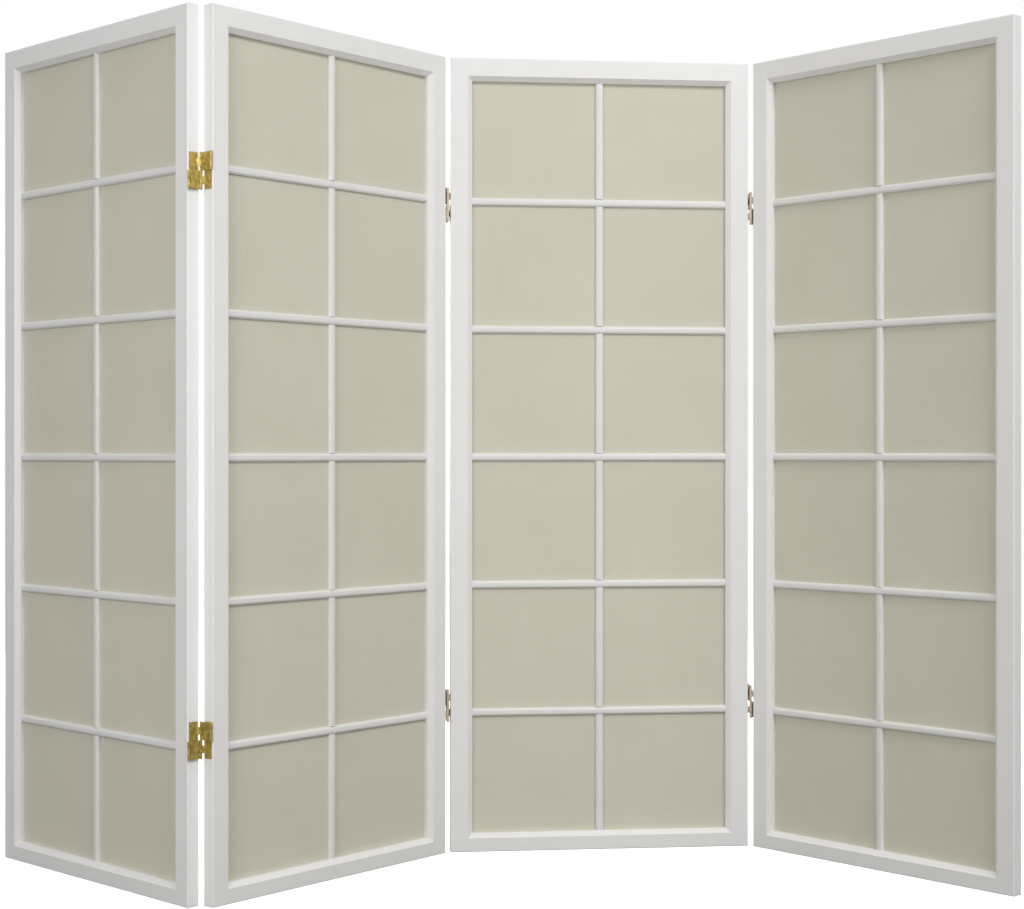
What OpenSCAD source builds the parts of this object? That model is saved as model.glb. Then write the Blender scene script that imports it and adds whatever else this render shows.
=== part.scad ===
// Four-panel folding shoji screen: painted wood frames, a thin lattice in front of
// a paper sheet, and crossed-plate brass hinges that let each fold close either way.
//
// Every panel is drawn in its own frame: X runs along the panel from its left edge,
// Y points through its thickness to the back, Z is up from the floor.
// Every hinge is drawn for a straight fold: X = 0 is the middle of the gap between the
// two panels, Y = 0 the middle of their thickness and Z = 0 the middle of the hinge.

/* [Panel] */
// Height of one panel
panel_h = 1219; // [900:1:1850]
// Width of one panel
panel_w = 465; // [360:1:620]
// Thickness of the frame
panel_t = 19; // [17:0.5:26]
// Flat width of the upright stiles, outside the bevel
stile_w = 27; // [24:0.5:45]
// Flat height of the top rail, outside the bevel
rail_h = 27; // [26:0.5:45]
// Flat height of the bottom rail, outside the bevel
foot_rail_h = 21; // [20:0.5:45]
// Width and depth of the bevel around the opening
bevel = 7; // [4:0.5:9]
// Rounding of the frame's outer edges
edge_r = 1.5; // [0.5:0.1:2]
// Width of the rabbet around the opening's back
rabbet_w = 6; // [4:0.5:8]

/* [Rail tenons] */
// Length of the rails' tenons
tenon_l = 20; // [10:0.5:22]
// Thickness of the rails' tenons
tenon_t = 6; // [4:0.5:7]
// Clearance from the back of the rails' tenons to the rabbet
tenon_back = 0.5; // [0.2:0.1:0.8]
// Height of the rails' tenons
tenon_h = 18; // [10:0.5:20]
// Clearance around a tenon in its mortise
tenon_clear = 0.1; // [0.05:0.05:0.3]

/* [Lattice] */
// Number of crossbars
crossbars = 5; // [3:1:7]
// Height of the cells at the top and at the bottom
end_cell = 179; // [140:1:220]
// Width of a lattice bar
bar_w = 12; // [10:0.5:16]
// Depth of a lattice bar
bar_d = 5.8; // [5:0.1:7]
// Rounding of a bar's front edges
bar_r = 4.5; // [1:0.1:4.6]
// Length of the bars' stub tenons
stub_l = 4; // [3:0.5:6]
// Width of the bars' stub tenons
stub_w = 5; // [3:0.5:6]
// Depth of the bars' stub tenons
stub_d = 3.5; // [3:0.5:4]
// Clearance in the bars' crossings
lap_clear = 0.05; // [0.05:0.05:0.2]

/* [Paper] */
// Depth of the paper behind the frame's front face
paper_recess = 13; // [11:0.25:14]
// Thickness of the paper
paper_t = 0.6; // [0.4:0.1:1.2]
// Free edge between the paper and the rabbet's wall
paper_edge = 1; // [0.2:0.1:2]
// Width of the beads that hold the paper
bead_w = 8.5; // [7:0.5:14]
// Depth of the beads below the frame's back face
bead_inset = 0.3; // [0.2:0.1:1]
// Clearance at the ends of the upper and lower beads
bead_clear = 0.1; // [0.05:0.05:0.5]
// Rounding of the beads' exposed edge
bead_r = 1.5; // [0.5:0.1:3]

/* [Hinges] */
// Gap between two panels
hinge_gap = 8; // [8:0.25:12]
// Height of one hinge
hinge_h = 50; // [40:1:70]
// Distance from a panel's end to the middle of its hinge
hinge_inset = 225; // [120:5:300]
// Distance of the hinge axes beyond the frame's faces
axis_out = 0.5; // [0.4:0.1:1]
// Radius of the knuckles
knuckle_r = 1.9; // [1.6:0.1:1.9]
// Radius of the hinge pins
pin_r = 0.8; // [0.6:0.05:0.9]
// Running clearance around a pin
pin_clear = 0.05; // [0.02:0.01:0.1]
// Height of a link's ring
ring_h = 7; // [5:0.5:8]
// Gap between stacked knuckles
axial_gap = 0.3; // [0.2:0.05:0.5]
// Thickness of the leaves
leaf_t = 1.2; // [1:0.1:1.6]
// Width of the leaves
leaf_w = 14; // [12:0.5:15]
// Thickness of the link plates
link_t = 1.3; // [1:0.1:1.6]
// Clearance around a leaf in its recess
leaf_clear = 0.1; // [0.05:0.05:0.3]
// Radius and height of a pin's head
head_size = [1.4, 0.6]; // [0.4:0.1:1.8]

/* [Screws] */
// Radius of a screw's head
screw_head_r = 2.3; // [2:0.1:2.5]
// Radius of a screw's shank
screw_r = 1.25; // [1:0.05:1.5]
// Length of a screw
screw_l = 14; // [10:0.5:18]
// Clearance around a screw
screw_clear = 0.05; // [0.03:0.01:0.1]
// Distance of the screws from the hinge's ends
screw_end = 8; // [5:0.5:10]

/* [Standing folds] */
// Heading of the first panel, in degrees from X
first_heading = -44.4; // [-60:0.1:-30]
// How far the first fold stands closed towards the back
fold_1_back = 94; // [60:0.5:120]
// How far the second fold stands closed towards the front
fold_2_front = 43.5; // [20:0.5:60]
// How far the third fold stands closed towards the front
fold_3_front = 53; // [20:0.5:53.5]

/* [Hidden] */
$fn = 48;
panels = 4;
folds = panels - 1;
front_fold = [0, fold_2_front, fold_3_front];
back_fold = [fold_1_back, 0, 0];

side_w = stile_w + bevel;
head_h = rail_h + bevel;
foot_h = foot_rail_h + bevel;
opening_w = panel_w - 2 * side_w;
opening_h = panel_h - head_h - foot_h;
middle_z = foot_h + opening_h / 2;
rabbet_x = side_w - rabbet_w;
rabbet_z = foot_h - rabbet_w;
front_y = -panel_t / 2;
back_y = panel_t / 2;
paper_y = front_y + paper_recess;
paper_back_y = paper_y + paper_t;
bar_front_y = paper_y - bar_d;
lap_y = paper_y - bar_d / 2;
tenon_y = paper_y - tenon_back - tenon_t / 2;
first_bar_z = foot_h + end_cell + bar_w / 2;
bar_pitch = (opening_h - 2 * end_cell - bar_w) / (crossbars - 1);
crossbar_z = [for (n = [0:crossbars - 1]) first_bar_z + n * bar_pitch];

axis_y = panel_t / 2 + axis_out;
edge_x = hinge_gap / 2;
bore_r = pin_r + pin_clear;
half_gap = axial_gap / 2;
half_h = hinge_h / 2;
leaf_knuckle_z = half_gap + ring_h + axial_gap;
leaf_knuckle_h = half_h - ring_h - axial_gap - leaf_knuckle_z;
hinge_z = [hinge_inset, panel_h - hinge_inset];
screw_z = [-half_h + screw_end, half_h - screw_end];
slot_w = 0.6;
slot_depth = 0.5;
cut = 1;

paint = "whitesmoke";
paper = "#cbc8b2";
brass = "#b5a04a";

panel_pieces = [
    "left_stile", "right_stile", "top_rail", "bottom_rail", "lattice_upright",
    "lattice_crossbars", "paper_sheet", "back_beads", "hinge_screws"
];
fold_pieces = [
    "left_leaves", "right_leaves", "lower_links", "upper_links",
    "lower_pins", "upper_pins", "stub_pins"
];

// ---- Where the panels and links stand ----

function turned(v, a) = [v.x * cos(a) - v.y * sin(a), v.x * sin(a) + v.y * cos(a)];
function heading(i) = i == 0 ? first_heading : link_heading(i - 1) + back_fold[i - 1];
function link_heading(i) = heading(i) - front_fold[i];
function upper_heading(i) = heading(i + 1) + front_fold[i];
function left_end(i) =
    i == 0 ? [0, 0] : back_axis(i - 1) + turned([edge_x, -axis_y], heading(i));
function front_axis(i) = left_end(i) + turned([panel_w + edge_x, -axis_y], heading(i));
function back_axis(i) = front_axis(i) + turned([0, 2 * axis_y], link_heading(i));
function upper_front_axis(i) = left_end(i + 1) + turned([-edge_x, -axis_y], heading(i + 1));
function upper_back_axis(i) =
    upper_front_axis(i) + turned([0, 2 * axis_y], upper_heading(i));

// Furthest reach of the screen along the direction d, from its rounded panels and knuckles
function panel_reach(i, d) =
    let (u = turned([1, 0], heading(i)), v = turned([0, 1], heading(i)))
    (left_end(i) + u * panel_w / 2) * d + (panel_w / 2 - edge_r) * abs(u * d)
    + (panel_t / 2 - edge_r) * abs(v * d) + edge_r;
function knuckle_reach(i, d) = knuckle_r + max([
    for (p = [front_axis(i), back_axis(i), upper_front_axis(i), upper_back_axis(i)]) p * d
]);
function reach(d) = max(concat(
    [for (i = [0:panels - 1]) panel_reach(i, d)],
    [for (i = [0:folds - 1]) knuckle_reach(i, d)]
));
centre = [reach([1, 0]) - reach([-1, 0]), reach([0, 1]) - reach([0, -1])] / 2;

module on_panel(i) {
    place = left_end(i) - centre;
    translate([place.x, place.y, 0]) rotate(heading(i)) children();
}

// Both hinges of a panel's right edge, or of its left edge
module at_right_edge() {
    for (z = hinge_z) translate([panel_w + edge_x, 0, z]) children();
}

module at_left_edge() {
    for (z = hinge_z) translate([-edge_x, 0, z]) children();
}

module on_lower_link(i) {
    place = front_axis(i) - centre;
    for (z = hinge_z)
        translate([place.x, place.y, z]) rotate(link_heading(i)) translate([0, axis_y, 0])
            children();
}

module on_upper_link(i) {
    place = upper_front_axis(i) - centre;
    for (z = hinge_z)
        translate([place.x, place.y, z]) rotate(upper_heading(i)) translate([0, axis_y, 0])
            children();
}

// ---- Shared shapes ----

// What rounding a corner at the origin, open towards +X and +Y, takes away
module corner_waste(r) {
    difference() {
        translate([-cut, -cut]) square(r + cut);
        translate([r, r]) circle(r);
    }
}

// Rectangle from the origin, with its corners at X = 0 and at X = w rounded by pairs
module rounded_plate(w, h, left_r, right_r) {
    difference() {
        square([w, h]);
        corner_waste(left_r);
        translate([0, h]) mirror([0, 1]) corner_waste(left_r);
        translate([w, 0]) mirror([1, 0]) corner_waste(right_r);
        translate([w, h]) rotate(180) corner_waste(right_r);
    }
}

// A flat shape drawn in Y and Z, carried along X
module along_x(length) {
    rotate([90, 0, 90]) linear_extrude(length) children();
}

// A box centred on the origin in Y and Z, from X = 0
module peg(length, depth, height) {
    translate([0, -depth / 2, -height / 2]) cube([length, depth, height]);
}

// ---- Frame ----

// The whole panel as one solid board with rounded edges
module board() {
    intersection() {
        translate([0, front_y, 0]) linear_extrude(panel_h)
            rounded_plate(panel_w, panel_t, edge_r, edge_r);
        translate([0, front_y, 0]) along_x(panel_w)
            rounded_plate(panel_t, panel_h, edge_r, edge_r);
        translate([0, back_y, 0]) rotate([90, 0, 0]) linear_extrude(panel_t)
            rounded_plate(panel_w, panel_h, edge_r, edge_r);
    }
}

// Section of the bevelled opening: its flared front from Y = 0, for a half width of w
module flare(w) {
    polygon([
        [-w - bevel - cut, -cut], [w + bevel + cut, -cut], [w, bevel], [w, panel_t + cut],
        [-w, panel_t + cut], [-w, bevel]
    ]);
}

// The panel's opening: bevel at the front, straight return, rabbet at the back
module opening() {
    intersection() {
        translate([panel_w / 2, front_y, -cut]) linear_extrude(panel_h + 2 * cut)
            flare(opening_w / 2);
        translate([-cut, front_y, middle_z]) along_x(panel_w + 2 * cut)
            rotate(90) mirror([0, 1]) flare(opening_h / 2);
    }
    translate([rabbet_x, paper_y, rabbet_z])
        cube([opening_w + 2 * rabbet_w, panel_t, opening_h + 2 * rabbet_w]);
}

module mortise(length, depth, height) {
    translate([-cut, 0, 0])
        peg(length + tenon_clear + cut, depth + 2 * tenon_clear, height + 2 * tenon_clear);
}

// Left stile without hinge recesses: its outer edge lies at X = 0
module plain_stile() {
    difference() {
        intersection() {
            board();
            translate([-cut, front_y - cut, -cut])
                cube([side_w + cut, panel_t + 2 * cut, panel_h + 2 * cut]);
        }
        opening();
        translate([side_w, 0, 0]) mirror([1, 0, 0]) {
            for (z = [foot_h / 2, panel_h - head_h / 2])
                translate([0, tenon_y, z]) mortise(tenon_l, tenon_t, tenon_h);
            for (z = crossbar_z)
                translate([0, lap_y, z]) mortise(stub_l, stub_d, stub_w);
        }
    }
}

// What one hinge leaf and its screws need, cut into an edge at X = 0
module leaf_recess() {
    translate([-cut, -leaf_w / 2 - leaf_clear, -half_h - leaf_clear])
        cube([leaf_t + cut, leaf_w + 2 * leaf_clear, hinge_h + 2 * leaf_clear]);
    for (z = screw_z)
        translate([0, 0, z]) rotate([0, 90, 0])
            cylinder(h = screw_l + screw_clear, r = screw_r + screw_clear);
}

module hinged_stile(hinged) {
    color(paint) difference() {
        plain_stile();
        if (hinged) for (z = hinge_z) translate([0, 0, z]) leaf_recess();
    }
}

module left_stile(i) {
    on_panel(i) hinged_stile(i > 0);
}

module right_stile(i) {
    on_panel(i) translate([panel_w, 0, 0]) mirror([1, 0, 0]) hinged_stile(i < panels - 1);
}

// Rail of a given height whose lower side lies at z, tenoned into both stiles
module plain_rail(z, height) {
    difference() {
        intersection() {
            board();
            translate([side_w, front_y - cut, z])
                cube([opening_w, panel_t + 2 * cut, height]);
        }
        opening();
        for (end = [0, 1])
            translate([panel_w / 2, lap_y, foot_h + end * opening_h])
                rotate([0, 90 - 180 * end, 0]) mortise(stub_l, stub_d, stub_w);
    }
    for (side = [0, 1])
        translate([panel_w / 2, tenon_y, z + height / 2]) mirror([side, 0, 0])
            translate([opening_w / 2 - cut, 0, 0]) peg(tenon_l + cut, tenon_t, tenon_h);
}

module bottom_rail(i) {
    color(paint) on_panel(i) plain_rail(0, foot_h);
}

module top_rail(i) {
    color(paint) on_panel(i) plain_rail(panel_h - head_h, head_h);
}

// ---- Lattice, paper and beads ----

// Section of a lattice bar, from its rounded front at X = -bar_d to its back at X = 0
module bar_section() {
    translate([-bar_d, -bar_w / 2]) rounded_plate(bar_d, bar_w, bar_r, 0.3);
}

module lattice_upright(i) {
    color(paint) on_panel(i) translate([panel_w / 2, 0, 0]) difference() {
        union() {
            translate([0, paper_y, foot_h]) linear_extrude(opening_h) rotate(90) bar_section();
            translate([-stub_w / 2, lap_y - stub_d / 2, foot_h - stub_l])
                cube([stub_w, stub_d, opening_h + 2 * stub_l]);
        }
        for (z = crossbar_z)
            translate([-bar_w / 2 - cut, bar_front_y - cut, z - bar_w / 2 - lap_clear])
                cube([bar_w + 2 * cut, bar_d / 2 + cut, bar_w + 2 * lap_clear]);
    }
}

module lattice_crossbars(i) {
    color(paint) on_panel(i) for (z = crossbar_z) translate([0, 0, z]) difference() {
        union() {
            translate([side_w, paper_y, 0]) along_x(opening_w) bar_section();
            translate([side_w - stub_l, lap_y, 0])
                peg(opening_w + 2 * stub_l, stub_d, stub_w);
        }
        translate([panel_w / 2 - bar_w / 2 - lap_clear, lap_y, -bar_w / 2 - cut])
            cube([bar_w + 2 * lap_clear, bar_d / 2 + cut, bar_w + 2 * cut]);
    }
}

module paper_sheet(i) {
    lap = rabbet_w - paper_edge;
    color(paper) on_panel(i) translate([side_w - lap, paper_y, foot_h - lap])
        cube([opening_w + 2 * lap, paper_t, opening_h + 2 * lap]);
}

// Section of a bead that lies on the wall at X = 0, with its back edge rounded
module bead_section() {
    bead_t = back_y - bead_inset - paper_back_y;
    difference() {
        translate([0, paper_back_y]) square([bead_w, bead_t]);
        translate([bead_w, paper_back_y + bead_t]) rotate(180) corner_waste(bead_r);
    }
}

module back_beads(i) {
    held_w = opening_w + 2 * rabbet_w;
    held_h = opening_h + 2 * rabbet_w;
    color(paint) on_panel(i) translate([panel_w / 2, 0, middle_z]) {
        for (side = [0, 1])
            mirror([side, 0, 0]) translate([-held_w / 2, 0, -held_h / 2])
                linear_extrude(held_h) bead_section();
        for (side = [0, 1])
            mirror([0, 0, side])
                translate([-held_w / 2 + bead_w + bead_clear, 0, -held_h / 2])
                    along_x(held_w - 2 * (bead_w + bead_clear)) mirror([-1, 1])
                        bead_section();
    }
}

// ---- Hinges ----

// Spans of a hinge's upper half, from the middle outwards
module upper_rings() {
    translate([0, 0, half_gap]) linear_extrude(ring_h) children();
    translate([0, 0, half_h - ring_h]) linear_extrude(ring_h) children();
}

module upper_knuckle() {
    translate([0, 0, leaf_knuckle_z]) linear_extrude(leaf_knuckle_h) children();
}

module knuckle_section(side) {
    difference() {
        union() {
            translate([0, side * axis_y]) circle(knuckle_r);
            children();
        }
        translate([0, side * axis_y]) circle(bore_r);
    }
}

// Web from the leaf's outer corner to its knuckle
module leaf_web(side) {
    corner = [-edge_x, leaf_w / 2];
    run = [0, axis_y] - corner;
    half_web = [-run.y, run.x] / norm(run) * leaf_t / 2;
    root = leaf_t * norm(run) / run.x;
    mirror([0, side < 0 ? 1 : 0]) polygon([
        corner - [leaf_t / 2, root], corner - [leaf_t / 2, 0], corner,
        [0, axis_y] + half_web, [0, axis_y] - half_web, corner - [0, root]
    ]);
}

module countersink() {
    rotate([0, 90, 0]) {
        translate([0, 0, -cut]) cylinder(h = leaf_t + 2 * cut, r = screw_r + screw_clear);
        cylinder(h = leaf_t, r1 = screw_head_r + screw_clear, r2 = screw_r + screw_clear);
    }
}

// Leaf on a panel's right edge: front knuckle below, back knuckle above
module leaf() {
    color(brass) {
        difference() {
            translate([-edge_x - leaf_t, -leaf_w / 2, -half_h]) cube([leaf_t, leaf_w, hinge_h]);
            for (z = screw_z)
                translate([-edge_x, 0, z]) mirror([1, 0, 0]) countersink();
        }
        upper_knuckle() knuckle_section(1) leaf_web(1);
        mirror([0, 0, 1]) upper_knuckle() knuckle_section(-1) leaf_web(-1);
    }
}

module left_leaves(i) {
    on_panel(i) at_right_edge() leaf();
}

// The same leaf turned over, so that its front knuckle lies above
module right_leaves(i) {
    on_panel(i + 1) at_left_edge() rotate([0, 180, 0]) leaf();
}

// Crossing link: two rings on each axis, with a waist between the leaf knuckles
module link() {
    waist = 2 * (axis_y - knuckle_r - 2 * axial_gap);
    color(brass) {
        upper_rings() difference() {
            union() {
                for (side = [-1, 1]) translate([0, side * axis_y]) circle(knuckle_r);
                square([link_t, 2 * axis_y], center = true);
            }
            for (side = [-1, 1]) translate([0, side * axis_y]) circle(bore_r);
        }
        translate([0, 0, half_gap + ring_h])
            linear_extrude(half_h - half_gap - 2 * ring_h)
                square([link_t, waist], center = true);
    }
}

module lower_links(i) {
    on_lower_link(i) mirror([0, 0, 1]) link();
}

module upper_links(i) {
    on_upper_link(i) link();
}

// Pin from the hinge's middle out through one half, with a small head at its end
module pin() {
    color(brass) {
        translate([0, 0, half_gap]) cylinder(h = half_h - half_gap + head_size[1] / 2, r = pin_r);
        translate([0, 0, half_h]) cylinder(h = head_size[1], r = head_size[0]);
    }
}

// Both pins of the lower half, which turn with the lower link
module lower_pins(i) {
    on_lower_link(i) mirror([0, 0, 1])
        for (side = [-1, 1]) translate([0, side * axis_y, 0]) pin();
}

// The whole front pin and the two ends of the back pin, which turn with the upper link
module upper_pins(i) {
    on_upper_link(i) {
        translate([0, -axis_y, 0]) pin();
        translate([0, axis_y, 0]) difference() {
            pin();
            translate([0, 0, leaf_knuckle_z - axial_gap])
                cylinder(h = leaf_knuckle_h + 2 * axial_gap, r = 2 * pin_r);
        }
    }
}

// The middle of the back pin, held in the left leaf's knuckle
module stub_pins(i) {
    color(brass) on_panel(i) at_right_edge() translate([0, axis_y, leaf_knuckle_z])
        cylinder(h = leaf_knuckle_h, r = pin_r);
}

module screw() {
    color(brass) rotate([0, 90, 0]) difference() {
        union() {
            cylinder(h = leaf_t, r1 = screw_head_r, r2 = screw_r);
            cylinder(h = screw_l, r = screw_r);
        }
        translate([-slot_w / 2, -screw_head_r, -cut])
            cube([slot_w, 2 * screw_head_r, slot_depth + cut]);
    }
}

module hinge_screws(i) {
    on_panel(i) {
        if (i > 0) at_left_edge() for (z = screw_z) translate([edge_x, 0, z]) screw();
        if (i < panels - 1)
            at_right_edge() for (z = screw_z)
                translate([-edge_x, 0, z]) mirror([1, 0, 0]) screw();
    }
}

// ---- Nodes ----

for (i = [0:panels - 1]) {
    p = str("panel_", i + 1, "_");
    left_stile(i);
    right_stile(i);
    top_rail(i);
    bottom_rail(i);
    lattice_upright(i);
    lattice_crossbars(i);
    paper_sheet(i);
    back_beads(i);
    hinge_screws(i);
}
for (i = [0:folds - 1]) {
    f = str("fold_", i + 1, "_");
    left_leaves(i);
    right_leaves(i);
    lower_links(i);
    upper_links(i);
    lower_pins(i);
    upper_pins(i);
    stub_pins(i);
}
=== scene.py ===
"""Dresses the folding shoji screen: painted wood, stretched sheets and brass hinges."""

from __future__ import annotations

import logging
import math
from dataclasses import dataclass, field
from enum import Enum
from typing import Any, Mapping, Union

import bpy
import numpy as np
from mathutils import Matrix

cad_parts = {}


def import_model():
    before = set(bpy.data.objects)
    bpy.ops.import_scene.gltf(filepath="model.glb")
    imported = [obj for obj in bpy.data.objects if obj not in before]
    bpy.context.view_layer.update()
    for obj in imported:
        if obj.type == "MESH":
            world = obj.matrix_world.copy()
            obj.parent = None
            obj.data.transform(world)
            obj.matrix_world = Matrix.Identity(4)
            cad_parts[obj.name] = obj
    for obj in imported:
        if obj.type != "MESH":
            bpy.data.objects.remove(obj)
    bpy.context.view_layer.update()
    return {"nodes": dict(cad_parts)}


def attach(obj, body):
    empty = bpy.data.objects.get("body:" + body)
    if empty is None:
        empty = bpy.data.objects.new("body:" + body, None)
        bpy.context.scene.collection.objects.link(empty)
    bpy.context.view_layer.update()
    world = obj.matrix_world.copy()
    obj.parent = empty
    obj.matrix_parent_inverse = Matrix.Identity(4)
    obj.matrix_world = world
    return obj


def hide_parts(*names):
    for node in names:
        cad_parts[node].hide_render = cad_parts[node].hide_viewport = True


LOG = logging.getLogger("shoji_screen")
MM = 0.001
PANELS = (1, 2, 3, 4)
FOLDS = (1, 2, 3)
# Folds whose hinges get the plain brass; the others get brass painted paler and greyer, a
# painted reflection.
PLAIN_BRASS_FOLDS = (1,)

Number = Union[int, float]
Colour = tuple[float, float, float, float]


def tint(red: float, green: float, blue: float) -> Colour:
    """Returns a linear colour from display values between 0 and 255."""

    def linear(value: float) -> float:
        """Undoes the display curve of one channel."""
        share = value / 255.0
        return share / 12.92 if share <= 0.04045 else ((share + 0.055) / 1.055) ** 2.4

    return linear(red), linear(green), linear(blue), 1.0


class Grain(Enum):
    """Which way a piece of wood runs in its panel."""

    UPRIGHT = "upright"
    LEVEL = "level"


class Signal:
    """A node's output on which shader maths is written as plain expressions."""

    def __init__(self, graph: "Graph", socket: bpy.types.NodeSocket) -> None:
        """Keeps the graph and the output socket."""
        self.graph = graph
        self.socket = socket

    def _math(self, operation: str, *values: Union["Signal", Number]) -> "Signal":
        """Adds one Math node with these values in order."""
        return self.graph.node(
            "ShaderNodeMath", {"operation": operation}, dict(enumerate(values))
        )

    def __add__(self, other: Union["Signal", Number]) -> "Signal":
        """self + other."""
        return self._math("ADD", self, other)

    __radd__ = __add__

    def __sub__(self, other: Union["Signal", Number]) -> "Signal":
        """self - other."""
        return self._math("SUBTRACT", self, other)

    def __rsub__(self, other: Union["Signal", Number]) -> "Signal":
        """other - self."""
        return self._math("SUBTRACT", other, self)

    def __mul__(self, other: Union["Signal", Number]) -> "Signal":
        """self * other."""
        return self._math("MULTIPLY", self, other)

    __rmul__ = __mul__

    def sine(self) -> "Signal":
        """The sine of self, in radians."""
        return self._math("SINE", self)

    def spread(self, low: Number, high: Number) -> "Signal":
        """Maps low..high to 0..1 and holds it there."""
        return self.graph.node(
            "ShaderNodeMapRange",
            {"clamp": True},
            {"Value": self, "From Min": low, "From Max": high},
        )


class Graph:
    """The node tree of one material."""

    def __init__(self, name: str) -> None:
        """Makes a material with an empty tree and its output."""
        self.material = bpy.data.materials.new(name)
        self.material.use_nodes = True
        self.tree = self.material.node_tree
        self.tree.nodes.clear()
        self.output = self.tree.nodes.new("ShaderNodeOutputMaterial")

    def node(
        self,
        kind: str,
        settings: Mapping[str, Any],
        inputs: Mapping[Union[str, int], Any],
        output: Union[str, int] = 0,
    ) -> Signal:
        """Adds one node.

        Args:
            kind: The node's type.
            settings: Its properties, set first.
            inputs: Values or signals, by socket name or index.
            output: The output to return, by name or index.

        Returns:
            The chosen output.
        """
        made = self.tree.nodes.new(kind)
        for key, value in settings.items():
            setattr(made, key, value)
        for key, value in inputs.items():
            if isinstance(value, Signal):
                self.tree.links.new(value.socket, made.inputs[key])
            else:
                made.inputs[key].default_value = value
        return Signal(self, made.outputs[output])

    def coordinates(self, which: str = "Object") -> Signal:
        """The piece's Object coordinates or its UV map."""
        return self.node("ShaderNodeTexCoord", {}, {}, which)

    def mapped(
        self,
        vector: Signal,
        turn: float = 0.0,
        scale: tuple[float, float, float] = (1.0, 1.0, 1.0),
    ) -> Signal:
        """Turns a vector about Z by the given angle, then scales it.

        Args:
            vector: The coordinates.
            turn: Angle in radians.
            scale: Factors along the turned axes.

        Returns:
            The new coordinates.
        """
        turned = self.node(
            "ShaderNodeMapping", {}, {"Vector": vector, "Rotation": (0, 0, turn)}
        )
        return self.node("ShaderNodeMapping", {}, {"Vector": turned, "Scale": scale})

    def noise(self, vector: Signal, scale: float = 1.0, detail: float = 2.0) -> Signal:
        """Soft noise between 0 and 1, with this many features to a unit of the vector."""
        return self.node(
            "ShaderNodeTexNoise", {}, {"Vector": vector, "Scale": scale, "Detail": detail}
        )

    def blend(self, share: Signal, first: Colour, second: Colour) -> Signal:
        """Mixes two colours by a share between 0 and 1."""
        return self.node(
            "ShaderNodeMix", {"data_type": "RGBA"}, {0: share, 6: first, 7: second}, 2
        )

    def bump(self, height: Signal, strength: float, depth: float) -> Signal:
        """Turns a height between 0 and 1 into a normal, with its full depth in metres."""
        return self.node(
            "ShaderNodeBump",
            {},
            {"Height": height, "Strength": strength, "Distance": depth},
        )

    def finish(self, **inputs: Any) -> bpy.types.Material:
        """Ends the tree in a Principled shader.

        Args:
            **inputs: Socket names with underscores for spaces, with values or signals.

        Returns:
            The material.
        """
        surface = self.node(
            "ShaderNodeBsdfPrincipled",
            {},
            {key.replace("_", " "): value for key, value in inputs.items()},
        )
        self.tree.links.new(surface.socket, self.output.inputs["Surface"])
        return self.material


@dataclass(frozen=True)
class WhitePaint:
    """Satin white paint, brushed along the wood."""

    light: Colour = tint(238, 237, 236)
    dull: Colour = tint(234, 233, 231)
    contrast: tuple[float, float] = (0.3, 0.7)
    roughness: float = 0.38
    mottle_roughness: float = 0.12
    streak_roughness: float = 0.06
    ior: float = 1.48
    streak_step: float = 0.9 * MM
    streak_length: float = 120 * MM
    streak_share: float = 0.45
    mottle_step: float = 90 * MM
    stipple_step: float = 0.7 * MM
    stipple_share: float = 0.3
    depth: float = 0.05 * MM
    strength: float = 0.35

    def material(self, name: str, heading: float, grain: Grain) -> bpy.types.Material:
        """Makes the paint for pieces that run one way in one panel.

        Args:
            name: The material's name.
            heading: The panel's direction in the plan, in radians.
            grain: Which way the wood runs.

        Returns:
            The material.
        """
        graph = Graph(name)
        place = graph.coordinates()
        along, across = 1 / self.streak_length, 1 / self.streak_step
        level = grain is Grain.LEVEL
        scale = (along, across, across) if level else (across, across, along)
        streaks = graph.noise(graph.mapped(place, -heading, scale), detail=3.0)
        mottle = graph.noise(place, 1 / self.mottle_step)
        stipple = graph.noise(place, 1 / self.stipple_step, detail=1.0)
        share = self.streak_share * streaks + (1 - self.streak_share) * mottle
        height = (1 - self.stipple_share) * streaks + self.stipple_share * stipple
        return graph.finish(
            Base_Color=graph.blend(
                share.spread(*self.contrast), self.light, self.dull
            ),
            Roughness=(
                self.roughness
                + self.mottle_roughness * (mottle - 0.5)
                + self.streak_roughness * (streaks - 0.5)
            ),
            Normal=graph.bump(height, self.strength, self.depth),
            IOR=self.ior,
        )


# Painted shade: the lattice bars get a copy of the white paint a few levels darker,
# standing in for dimmer light on the bars.
LATTICE_PAINT_SHADED = WhitePaint(light=tint(231, 230, 228), dull=tint(226, 225, 223))


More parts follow.
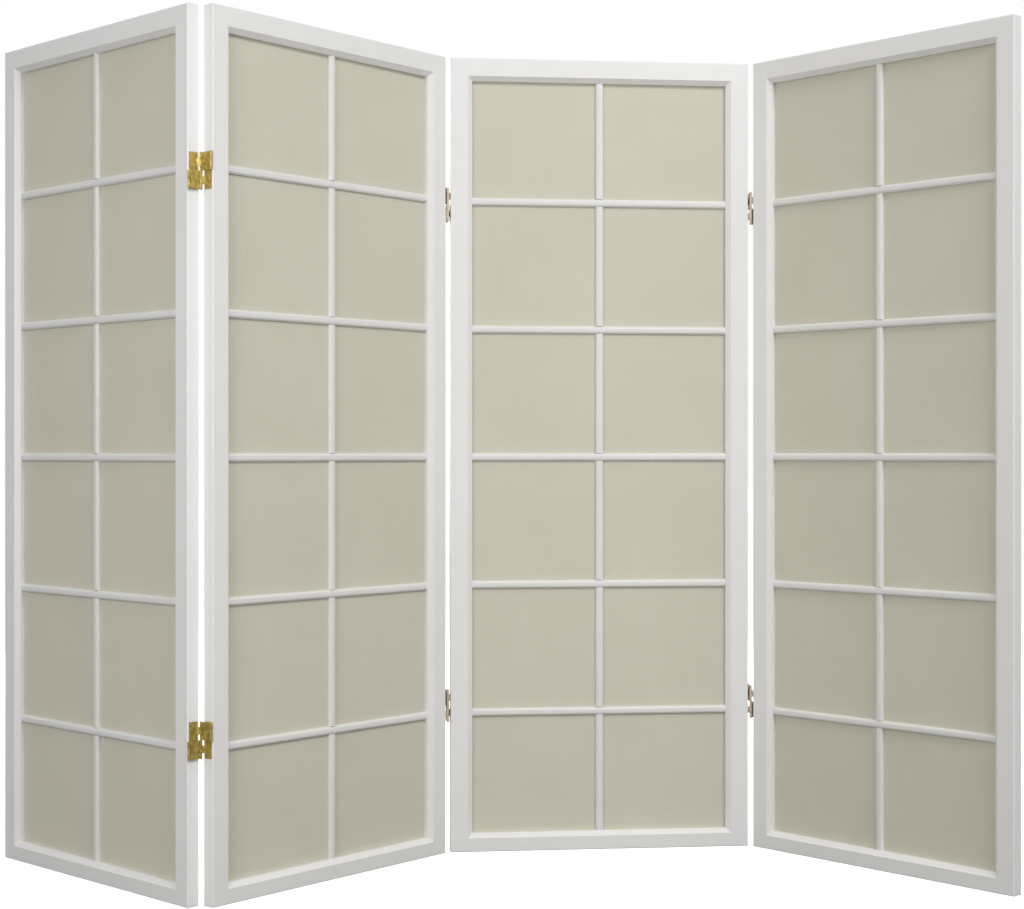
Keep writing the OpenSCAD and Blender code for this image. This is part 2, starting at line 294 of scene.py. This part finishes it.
@dataclass(frozen=True)
class SheetCloth:
    """Cream paper-backed cloth with a fine, flat weave."""

    light: Colour = tint(213, 209, 193)
    dull: Colour = tint(204, 200, 183)
    contrast: tuple[float, float] = (0.3, 0.7)
    thread: float = 0.9 * MM
    thread_share: float = 0.3
    slub_length: float = 90 * MM
    slub_share: float = 0.35
    slub_height: float = 0.2
    clouds_to_metre: float = 9.0
    cloud_share: float = 0.3
    cloud_roughness: float = 0.1
    roughness: float = 0.82
    depth: float = 0.06 * MM
    strength: float = 0.25
    gloss: float = 0.25
    sheen: float = 0.12
    sheen_roughness: float = 0.5

    def material(self, name: str) -> bpy.types.Material:
        """Makes the cloth; its UV map is in metres, X across and Y up."""
        graph = Graph(name)
        place = graph.coordinates("UV")
        turns = 2 * math.pi / self.thread
        warp, weft = (
            0.5 + 0.5 * (turns * part).sine()
            for part in (
                graph.node("ShaderNodeSeparateXYZ", {}, {"Vector": place}, axis)
                for axis in "XY"
            )
        )
        fine, long = 1 / self.thread, 1 / self.slub_length
        level = graph.noise(graph.mapped(place, scale=(long, fine, 1.0)))
        upright = graph.noise(graph.mapped(place, scale=(fine, long, 1.0)))
        cloud = graph.noise(place, self.clouds_to_metre)
        slubs = level + upright
        share = self.slub_share * slubs + self.cloud_share * cloud
        height = self.thread_share * (weft + warp) + self.slub_height * slubs
        return graph.finish(
            Base_Color=graph.blend(
                share.spread(*self.contrast), self.light, self.dull
            ),
            Roughness=self.roughness + self.cloud_roughness * (cloud - 0.5),
            Normal=graph.bump(height, self.strength, self.depth),
            Specular_IOR_Level=self.gloss,
            Sheen_Weight=self.sheen,
            Sheen_Roughness=self.sheen_roughness,
        )


@dataclass(frozen=True)
class Brass:
    """Satin brass plating, a little dulled and lacquered."""

    light: Colour = tint(212, 190, 112)
    dull: Colour = tint(160, 138, 62)
    contrast: tuple[float, float] = (0.35, 0.65)
    metal: float = 0.65
    roughness: float = 0.42
    cloud_roughness: float = 0.25
    brush_roughness: float = 0.1
    cloud_step: float = 6 * MM
    brush_step: float = 0.25 * MM
    brush_length: float = 12 * MM
    brush_share: float = 0.2
    depth: float = 0.01 * MM
    strength: float = 0.3

    def material(self, name: str) -> bpy.types.Material:
        """Makes the brass, brushed up and down."""
        graph = Graph(name)
        place = graph.coordinates()
        across, along = 1 / self.brush_step, 1 / self.brush_length
        brushed = graph.noise(graph.mapped(place, scale=(across, across, along)))
        cloud = graph.noise(place, 1 / self.cloud_step, detail=3.0)
        share = (1 - self.brush_share) * cloud + self.brush_share * brushed
        return graph.finish(
            Base_Color=graph.blend(
                share.spread(*self.contrast), self.light, self.dull
            ),
            Metallic=self.metal,
            Roughness=(
                self.roughness
                + self.cloud_roughness * (cloud - 0.5)
                + self.brush_roughness * (brushed - 0.5)
            ),
            Normal=graph.bump(brushed, self.strength, self.depth),
        )


# Painted reflection: a paler, greyer copy of the brass for the hinges of the other folds,
# standing in for bright surroundings reflected in them.
BRASS_PAINTED_REFLECTION = Brass(
    light=tint(222, 208, 186), dull=tint(194, 180, 156), metal=0.5, roughness=0.5
)


@dataclass(frozen=True)
class Plan:
    """Where one panel stands: its middle in the plan and the way it runs."""

    middle: np.ndarray
    along: np.ndarray
    bottom: float

    @classmethod
    def of(cls, node: bpy.types.Object) -> "Plan":
        """Reads the place of a panel's flat sheet from its solid."""
        points = np.empty(len(node.data.vertices) * 3)
        node.data.vertices.foreach_get("co", points)
        points = points.reshape(-1, 3)
        low, high = points.min(axis=0), points.max(axis=0)
        middle = (low + high)[:2] / 2
        _, _, ways = np.linalg.svd(points[:, :2] - middle, full_matrices=False)
        along = ways[0] * np.sign(ways[0][0])
        return cls(middle, along, float(low[2]))

    @property
    def heading(self) -> float:
        """The way the panel runs, in radians from X."""
        return math.atan2(self.along[1], self.along[0])

    @property
    def backwards(self) -> np.ndarray:
        """The unit vector in the plan from the panel's front to its back."""
        return np.array([-self.along[1], self.along[0]])


@dataclass
class StretchedSheet:
    """The sheet of one panel, pulled flat in its rabbet behind the lattice."""

    width: float = 407 * MM
    length: float = 1167 * MM
    lap: float = 5 * MM
    end_cell: float = 179 * MM
    thickness: float = 0.5 * MM
    face_gap: float = 0.05 * MM
    slack: float = 0.5 * MM
    crossbars: int = 5
    bar_width: float = 12 * MM
    columns: int = 56
    rows: int = 168

    def _free(self, place: np.ndarray, size: float, bars: np.ndarray) -> np.ndarray:
        """How free the sheet is across one direction.

        Formula: the sheet is held under the frame and under the bars, which part the
        opening into cells. Across each cell the freedom is the square root of a sine's
        half wave, so it rises steeply at the bars and stays level between.

        Args:
            place: Distances from the sheet's edge.
            size: The sheet's size in this direction.
            bars: Middles of the bars, from the opening's edge.

        Returns:
            Values from 0, held, to 1, free.
        """
        starts = np.append(0.0, bars + self.bar_width / 2)
        ends = np.append(bars - self.bar_width / 2, size - 2 * self.lap)
        local = (place[:, None] - self.lap - starts) / (ends - starts)
        wave = np.sin(np.pi * np.clip(local, 0, 1))
        return np.sqrt(np.clip(wave, 0, 1)).sum(axis=1)

    def build(self, name: str, plan: Plan, depth: float) -> bpy.types.Object:
        """Builds the sheet as a grid with a UV map in metres.

        Formula: a point (u, v) of the grid lies u along the panel and v up. It is pushed
        back by the slack times the freedom across and up, so each cell is faintly hollow.

        Args:
            name: The piece's name.
            plan: The panel's place.
            depth: The middle of the solid's thickness behind its front face.

        Returns:
            The new object.
        """
        u = np.linspace(0, self.width, self.columns + 1)
        v = np.linspace(0, self.length, self.rows + 1)
        first_bar = self.end_cell + self.bar_width / 2
        last_bar = self.length - 2 * self.lap - first_bar
        crossbars = np.linspace(first_bar, last_bar, self.crossbars)
        upright = np.array([self.width / 2 - self.lap])
        push = (
            self._free(v, self.length, crossbars)[:, None]
            * self._free(u, self.width, upright)[None, :]
            * self.slack
        )
        back = push - depth + self.face_gap
        across = u - self.width / 2
        plane = (
            plan.middle
            + across[None, :, None] * plan.along
            + back[:, :, None] * plan.backwards
        )
        height = np.broadcast_to((plan.bottom + v)[:, None], back.shape)
        points = np.concatenate([plane, height[:, :, None]], axis=2).reshape(-1, 3)
        row = self.columns + 1
        first = np.add.outer(np.arange(self.rows) * row, np.arange(self.columns))
        first = first.reshape(-1)
        faces = np.stack([first, first + 1, first + row + 1, first + row], axis=1)
        mesh = bpy.data.meshes.new(name)
        mesh.from_pydata(points.tolist(), [], faces.tolist())
        flat = np.stack(np.meshgrid(u, v), axis=2).reshape(-1, 2).astype(np.float32)
        layer = mesh.uv_layers.new(name="UVMap")
        layer.data.foreach_set("uv", flat[faces.reshape(-1)].reshape(-1))
        mesh.shade_smooth()
        mesh.update()
        piece = bpy.data.objects.new(name, mesh)
        bpy.context.scene.collection.objects.link(piece)
        solid = piece.modifiers.new("thickness", "SOLIDIFY")
        solid.thickness = self.thickness
        solid.offset = -1.0
        return piece


@dataclass
class Panel:
    """One panel: its painted frame and lattice, its sheet and its screws."""

    number: int
    nodes: Mapping[str, bpy.types.Object]
    frame_paint: WhitePaint
    # The lattice's paint is the darker copy, which is painted shade.
    lattice_shaded_paint: WhitePaint
    cloth: bpy.types.Material
    brass: bpy.types.Material
    sheet: StretchedSheet = field(default_factory=StretchedSheet)
    uprights: tuple[str, ...] = ("left_stile", "right_stile", "back_beads")
    levels: tuple[str, ...] = ("top_rail", "bottom_rail")
    lattice_uprights: tuple[str, ...] = ("lattice_upright",)
    lattice_levels: tuple[str, ...] = ("lattice_crossbars",)
    solid_thickness: float = 0.6 * MM

    def name(self, piece: str) -> str:
        """The full name of one of the panel's nodes."""
        return f"panel_{self.number}_{piece}"

    def build(self) -> None:
        """Dresses the panel's nodes and makes its sheet."""
        plan = Plan.of(self.nodes[self.name("paper_sheet")])
        for part, paint, grain, pieces in (
            ("frame", self.frame_paint, Grain.UPRIGHT, self.uprights),
            ("frame", self.frame_paint, Grain.LEVEL, self.levels),
            # The lattice pieces get the darker copy of the paint, as painted shade.
            ("lattice", self.lattice_shaded_paint, Grain.UPRIGHT, self.lattice_uprights),
            ("lattice", self.lattice_shaded_paint, Grain.LEVEL, self.lattice_levels),
        ):
            name = self.name(f"{part}_paint_{grain.value}")
            finish = paint.material(name, plan.heading, grain)
            for piece in pieces:
                dress(self.nodes[self.name(piece)], finish)
        dress(self.nodes[self.name("hinge_screws")], self.brass)
        self._stretch_sheet(plan)

    def _stretch_sheet(self, plan: Plan) -> None:
        """Makes the sheet in place of its plain solid."""
        piece = self.sheet.build(self.name("sheet"), plan, self.solid_thickness / 2)
        dress(piece, self.cloth)
        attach(piece, f"panel_{self.number}")
        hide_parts(self.name("paper_sheet"))
        self.name("back_beads")
        self.name("lattice_crossbars")
        LOG.info("%s stands for %s", piece.name, self.name("paper_sheet"))


@dataclass
class Fold:
    """The hinges between two panels."""

    number: int
    nodes: Mapping[str, bpy.types.Object]
    brass: bpy.types.Material
    pieces: tuple[str, ...] = (
        "left_leaves", "right_leaves", "lower_links", "upper_links",
        "lower_pins", "upper_pins", "stub_pins",
    )

    def build(self) -> None:
        """Dresses every piece of the fold's hinges."""
        for piece in self.pieces:
            dress(self.nodes[f"fold_{self.number}_{piece}"], self.brass)


def dress(piece: bpy.types.Object, finish: bpy.types.Material) -> None:
    """Gives the whole piece one material."""
    piece.data.materials.clear()
    piece.data.materials.append(finish)
    LOG.info("%s: %s", piece.name, finish.name)


@dataclass
class Lamp:
    """A rectangular soft light."""

    name: str
    place: tuple[float, float, float]
    target: tuple[float, float, float]
    size: tuple[float, float]
    power: float

    def build(self) -> None:
        """Hangs the light and turns it to its target."""
        data = bpy.data.lights.new(self.name, "AREA")
        data.shape = "RECTANGLE"
        data.size, data.size_y = self.size
        data.energy = self.power
        lamp = bpy.data.objects.new(self.name, data)
        lamp.location = self.place
        way = np.subtract(self.target, self.place)
        level = math.hypot(way[0], way[1])
        lamp.rotation_euler = (
            math.pi / 2 + math.atan2(way[2], level), 0.0, math.atan2(-way[0], way[1])
        )
        bpy.context.scene.collection.objects.link(lamp)


@dataclass
class Studio:
    """Camera, floor, surroundings and lights."""

    eye: tuple[float, float, float] = (31 * MM, -2781.6 * MM, 613.5 * MM)
    lens: float = 67.14
    sensor: float = 36.0
    shift_down: float = -0.002
    floor_size: float = 60.0
    floor_seen: float = 0.93
    floor_glow: float = 0.72
    floor_bounce: float = 0.18
    floor_roughness: float = 0.9
    floor_gloss: float = 0.1
    view_depth: float = 100.0
    sky_seen: float = 1.0
    sky_light: float = 0.34
    lamps: tuple[Lamp, ...] = (
        Lamp("upper_right", (1.6, -2.4, 3.0), (0.0, 0.0, 0.7), (1.4, 1.2), 52.0),
        Lamp("right", (2.8, -2.4, 1.6), (0.0, 0.0, 0.6), (1.4, 1.6), 24.0),
        Lamp("left", (-2.6, -2.2, 1.4), (0.1, 0.0, 0.6), (1.4, 1.6), 15.0),
        Lamp("near_left", (-0.9, -2.0, 0.9), (-0.4, -0.2, 0.7), (0.8, 0.9), 12.5),
        Lamp("upper_left", (-1.6, -2.4, 3.0), (0.0, 0.0, 0.7), (1.4, 1.2), 6.0),
        Lamp("back_left", (-1.8, 2.8, 1.3), (0.0, 0.0, 0.6), (1.8, 1.8), 50.0),
        Lamp("back_right", (1.8, 2.8, 1.3), (0.0, 0.0, 0.6), (1.8, 1.8), 50.0),
    )

    def place_camera(self) -> None:
        """Sets the level camera in front of the screen."""
        data = bpy.data.cameras.new("camera")
        data.sensor_width = self.sensor
        data.lens = self.lens
        data.shift_y = self.shift_down
        data.clip_end = self.view_depth
        camera = bpy.data.objects.new("camera", data)
        camera.location = self.eye
        camera.rotation_euler = (math.pi / 2, 0.0, 0.0)
        bpy.context.scene.collection.objects.link(camera)
        bpy.context.scene.camera = camera

    def _surround(self) -> None:
        """Makes the white surroundings, which light less than they show."""
        world = bpy.data.worlds.new("surroundings")
        world.use_nodes = True
        tree = world.node_tree
        strength = tree.nodes.new("ShaderNodeMapRange")
        strength.inputs["To Min"].default_value = self.sky_light
        strength.inputs["To Max"].default_value = self.sky_seen
        seen = tree.nodes.new("ShaderNodeLightPath").outputs["Is Camera Ray"]
        tree.links.new(seen, strength.inputs["Value"])
        background = tree.nodes["Background"]
        background.inputs["Color"].default_value = (1.0, 1.0, 1.0, 1.0)
        tree.links.new(strength.outputs["Result"], background.inputs["Strength"])
        bpy.context.scene.world = world

    def _lay_floor(self) -> None:
        """Makes the pale floor, which bounces less light than it shows."""
        half = self.floor_size / 2
        mesh = bpy.data.meshes.new("floor")
        mesh.from_pydata(
            [(-half, -half, 0), (half, -half, 0), (half, half, 0), (-half, half, 0)],
            [], [(0, 1, 2, 3)],
        )
        floor = bpy.data.objects.new("floor", mesh)
        graph = Graph("floor_paint")
        seen = graph.node("ShaderNodeLightPath", {}, {}, "Is Camera Ray")
        bounce, shown, dark, glow = (
            (value, value, value, 1.0)
            for value in (self.floor_bounce, self.floor_seen, 0.0, self.floor_glow)
        )
        dress(floor, graph.finish(
            Base_Color=graph.blend(seen, bounce, shown),
            Emission_Color=graph.blend(seen, dark, glow),
            Emission_Strength=1.0,
            Roughness=self.floor_roughness,
            Specular_IOR_Level=self.floor_gloss,
        ))
        bpy.context.scene.collection.objects.link(floor)

    def light(self) -> None:
        """Makes the floor, the surroundings and the lights."""
        self._surround()
        self._lay_floor()
        for lamp in self.lamps:
            lamp.build()
        bpy.context.scene.view_settings.view_transform = "Standard"


def main() -> None:
    """Builds the studio, the panels and the folds."""
    logging.basicConfig(level=logging.INFO, format="%(name)s: %(message)s")
    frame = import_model()
    studio = Studio()
    studio.place_camera()
    nodes = frame["nodes"]
    brass = Brass().material("satin_brass")
    # Brass painted paler and greyer, standing in for reflected surroundings.
    reflection_brass = BRASS_PAINTED_REFLECTION.material("brass_painted_reflection")
    cloth = SheetCloth().material("cream_cloth")
    for number in PANELS:
        # The lattice gets the white paint darkened as painted shade.
        Panel(number, nodes, WhitePaint(), LATTICE_PAINT_SHADED, cloth, brass).build()
    for number in FOLDS:
        Fold(number, nodes, brass if number in PLAIN_BRASS_FOLDS else reflection_brass).build()
    studio.light()


if __name__ == "__main__":
    main()
